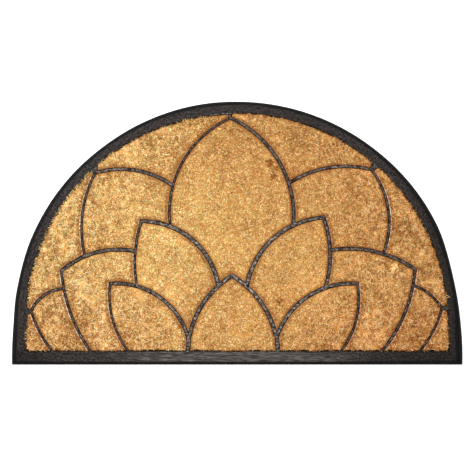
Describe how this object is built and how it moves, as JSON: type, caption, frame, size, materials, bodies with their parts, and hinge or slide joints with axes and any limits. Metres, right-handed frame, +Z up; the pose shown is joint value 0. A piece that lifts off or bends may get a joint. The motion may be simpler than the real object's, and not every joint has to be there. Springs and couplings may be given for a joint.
{
  "type": "half-round coir doormat",
  "caption": "Half-round doormat: short golden coir pile panels set in a charcoal rubber tray whose raised ribs draw a fan of petals.",
  "frame": {"origin": "middle of the underside, half way between the straight front edge and the top of the arc", "axes": "+X along the straight edge to the right, +Y from the straight edge towards the top of the arc, +Z up through the pile"},
  "size_m": [0.7542, 0.4501, 0.0105],
  "materials": {
    "rubber": "matt moulded rubber with a faint streak",
    "coir": "short brushed coir pile"
  },
  "bodies": {
    "root": {"rubber_tray": "rubber", "petal_top": "coir", "petal_upper_left": "coir", "petal_upper_right": "coir", "petal_middle_left": "coir", "petal_middle_right": "coir", "petal_lower_left": "coir", "petal_lower_right": "coir", "petal_bottom_left": "coir", "petal_bottom_centre": "coir", "petal_bottom_right": "coir", "petal_outer_left": "coir", "petal_outer_right": "coir", "field_upper_left": "coir", "field_upper_right": "coir", "field_side_left": "coir", "field_side_right": "coir", "field_corner_left": "coir", "field_corner_right": "coir"}
  },
  "joints": []
}
